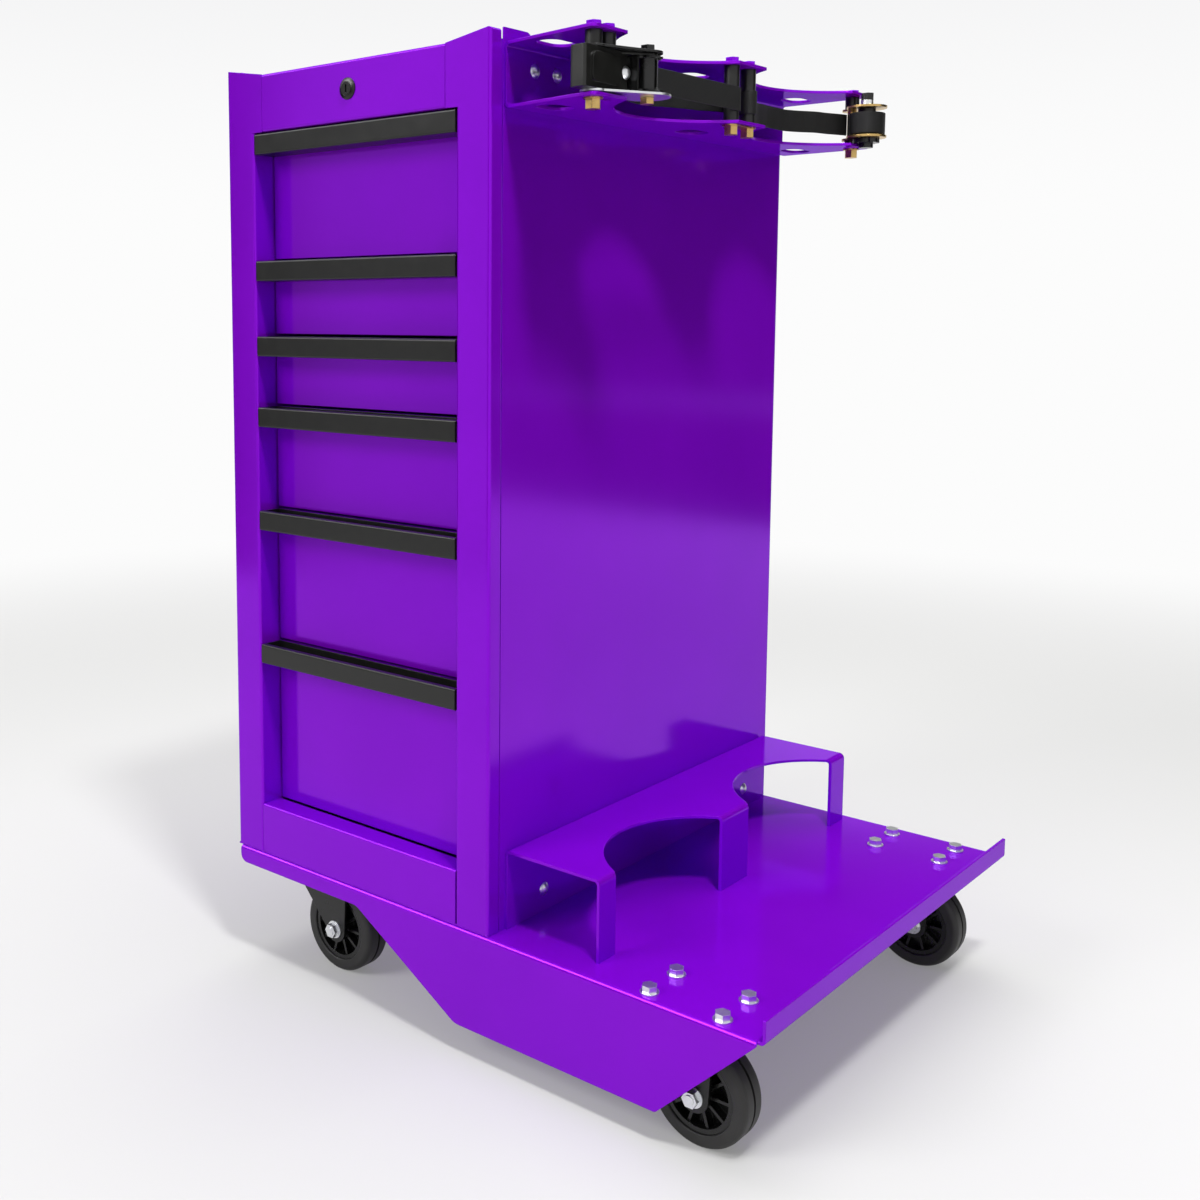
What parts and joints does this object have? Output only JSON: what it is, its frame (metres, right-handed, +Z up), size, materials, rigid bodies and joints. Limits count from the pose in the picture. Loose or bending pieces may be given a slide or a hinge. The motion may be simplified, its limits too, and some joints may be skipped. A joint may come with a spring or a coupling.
{
  "type": "dual tank cart",
  "caption": "Tool cart: a tall cabinet of locking drawers beside a low platform whose brackets and straps hold two gas cylinders, all on casters.",
  "frame": {"origin": "on the floor, under the middle of the cart's outline", "axes": "-Y to the front with the drawers, +X to the tank platform, +Z up"},
  "size_m": [0.69, 0.568, 1.0245],
  "materials": {
    "purple_paint": "gloss powder coat",
    "black_metal": "satin black coating",
    "lock_black": "black plated",
    "zinc": "bright zinc plating",
    "yellow_zinc": "yellow zinc plating",
    "webbing": "woven webbing",
    "tyre_rubber": "matte rubber",
    "core_plastic": "moulded plastic"
  },
  "bodies": {
    "frame": {"base_plate": "purple_paint", "cabinet_side_left": "purple_paint", "cabinet_side_right": "purple_paint", "front_posts": "purple_paint", "rear_posts": "purple_paint", "cabinet_back": "purple_paint", "cabinet_top": "purple_paint", "cabinet_floor": "purple_paint", "header_panel": "purple_paint", "bottom_rail": "purple_paint", "lock_housing": "lock_black", "slide_outer": "zinc", "lower_bracket": "purple_paint", "upper_bracket": "purple_paint", "spacer_tubes": "black_metal", "tie_bolts": "yellow_zinc", "zinc_bolts": "zinc", "strap_front": "webbing", "strap_back": "webbing", "tightener_frame": "zinc", "reel_frame": "yellow_zinc", "swivel_plates": "zinc", "rigid_forks": "black_metal", "rigid_axles": "zinc"},
    "lock": {"lock_cylinder": "zinc"},
    "drawer_1": {"drawer_1": "purple_paint", "drawer_pull_1": "black_metal"},
    "slide_1": {"slide_middle_1": "zinc"},
    "drawer_2": {"drawer_2": "purple_paint", "drawer_pull_2": "black_metal"},
    "slide_2": {"slide_middle_2": "zinc"},
    "drawer_3": {"drawer_3": "purple_paint", "drawer_pull_3": "black_metal"},
    "slide_3": {"slide_middle_3": "zinc"},
    "drawer_4": {"drawer_4": "purple_paint", "drawer_pull_4": "black_metal"},
    "slide_4": {"slide_middle_4": "zinc"},
    "drawer_5": {"drawer_5": "purple_paint", "drawer_pull_5": "black_metal"},
    "slide_5": {"slide_middle_5": "zinc"},
    "drawer_6": {"drawer_6": "purple_paint", "drawer_pull_6": "black_metal"},
    "slide_6": {"slide_middle_6": "zinc"},
    "handle": {"tightener_handle": "black_metal"},
    "pawl": {"release_pawl": "zinc"},
    "spool": {"tightener_spool": "black_metal"},
    "reel": {"reel_spool": "black_metal", "webbing_roll": "webbing"},
    "fork_front_left": {"fork_front_left": "black_metal", "axle_front_left": "zinc"},
    "fork_back_left": {"fork_back_left": "black_metal", "axle_back_left": "zinc"},
    "wheel_front_left": {"tyre_front_left": "tyre_rubber", "core_front_left": "core_plastic"},
    "wheel_back_left": {"tyre_back_left": "tyre_rubber", "core_back_left": "core_plastic"},
    "wheel_front_right": {"tyre_front_right": "tyre_rubber", "core_front_right": "core_plastic"},
    "wheel_back_right": {"tyre_back_right": "tyre_rubber", "core_back_right": "core_plastic"}
  },
  "joints": [
    {"name": "lock_turn", "type": "hinge", "parent": "frame", "child": "lock", "pos_m": [-0.1545, -0.278, 0.985], "axis": [0, 1, 0], "range_deg": [0, 90]},
    {"name": "drawer_1_slide", "type": "slide", "parent": "frame", "child": "drawer_1", "axis": [0, -1, 0], "range_m": [0, 0.45]},
    {"name": "slide_middle_1_slide", "type": "slide", "parent": "frame", "child": "slide_1", "axis": [0, -1, 0], "range_m": [0, 0.225]},
    {"name": "drawer_2_slide", "type": "slide", "parent": "frame", "child": "drawer_2", "axis": [0, -1, 0], "range_m": [0, 0.45]},
    {"name": "slide_middle_2_slide", "type": "slide", "parent": "frame", "child": "slide_2", "axis": [0, -1, 0], "range_m": [0, 0.225]},
    {"name": "drawer_3_slide", "type": "slide", "parent": "frame", "child": "drawer_3", "axis": [0, -1, 0], "range_m": [0, 0.45]},
    {"name": "slide_middle_3_slide", "type": "slide", "parent": "frame", "child": "slide_3", "axis": [0, -1, 0], "range_m": [0, 0.225]},
    {"name": "drawer_4_slide", "type": "slide", "parent": "frame", "child": "drawer_4", "axis": [0, -1, 0], "range_m": [0, 0.45]},
    {"name": "slide_middle_4_slide", "type": "slide", "parent": "frame", "child": "slide_4", "axis": [0, -1, 0], "range_m": [0, 0.225]},
    {"name": "drawer_5_slide", "type": "slide", "parent": "frame", "child": "drawer_5", "axis": [0, -1, 0], "range_m": [0, 0.45]},
    {"name": "slide_middle_5_slide", "type": "slide", "parent": "frame", "child": "slide_5", "axis": [0, -1, 0], "range_m": [0, 0.225]},
    {"name": "drawer_6_slide", "type": "slide", "parent": "frame", "child": "drawer_6", "axis": [0, -1, 0], "range_m": [0, 0.45]},
    {"name": "slide_middle_6_slide", "type": "slide", "parent": "frame", "child": "slide_6", "axis": [0, -1, 0], "range_m": [0, 0.225]},
    {"name": "handle_swing", "type": "hinge", "parent": "frame", "child": "handle", "pos_m": [0.157, -0.198, 0.973], "axis": [0, 0, 1], "range_deg": [0, 100]},
    {"name": "pawl_release", "type": "slide", "parent": "handle", "child": "pawl", "axis": [0, -1, 0], "range_m": [0, 0.003], "stiffness_N_per_m": 300},
    {"name": "spool_turn", "type": "hinge", "parent": "frame", "child": "spool", "pos_m": [0.157, -0.198, 0.973], "axis": [0, 0, 1], "continuous": true},
    {"name": "reel_turn", "type": "hinge", "parent": "frame", "child": "reel", "pos_m": [0.161, 0.253, 0.973], "axis": [0, 0, 1], "continuous": true},
    {"name": "swivel_front_left", "type": "hinge", "parent": "frame", "child": "fork_front_left", "pos_m": [-0.253, -0.217, 0.115], "axis": [0, 0, 1], "continuous": true},
    {"name": "wheel_front_left_spin", "type": "hinge", "parent": "fork_front_left", "child": "wheel_front_left", "pos_m": [-0.226, -0.217, 0.0508], "axis": [0, 1, 0], "continuous": true},
    {"name": "swivel_back_left", "type": "hinge", "parent": "frame", "child": "fork_back_left", "pos_m": [-0.253, 0.22, 0.115], "axis": [0, 0, 1], "continuous": true},
    {"name": "wheel_back_left_spin", "type": "hinge", "parent": "fork_back_left", "child": "wheel_back_left", "pos_m": [-0.226, 0.22, 0.0508], "axis": [0, 1, 0], "continuous": true},
    {"name": "wheel_front_right_spin", "type": "hinge", "parent": "frame", "child": "wheel_front_right", "pos_m": [0.267, -0.243, 0.0508], "axis": [0, 1, 0], "continuous": true},
    {"name": "wheel_back_right_spin", "type": "hinge", "parent": "frame", "child": "wheel_back_right", "pos_m": [0.267, 0.2355, 0.0508], "axis": [0, 1, 0], "continuous": true}
  ],
  "couplings": [
    {"joint": "slide_middle_1_slide", "follows": "drawer_1_slide", "ratio": 0.5},
    {"joint": "slide_middle_2_slide", "follows": "drawer_2_slide", "ratio": 0.5},
    {"joint": "slide_middle_3_slide", "follows": "drawer_3_slide", "ratio": 0.5},
    {"joint": "slide_middle_4_slide", "follows": "drawer_4_slide", "ratio": 0.5},
    {"joint": "slide_middle_5_slide", "follows": "drawer_5_slide", "ratio": 0.5},
    {"joint": "slide_middle_6_slide", "follows": "drawer_6_slide", "ratio": 0.5}
  ]
}
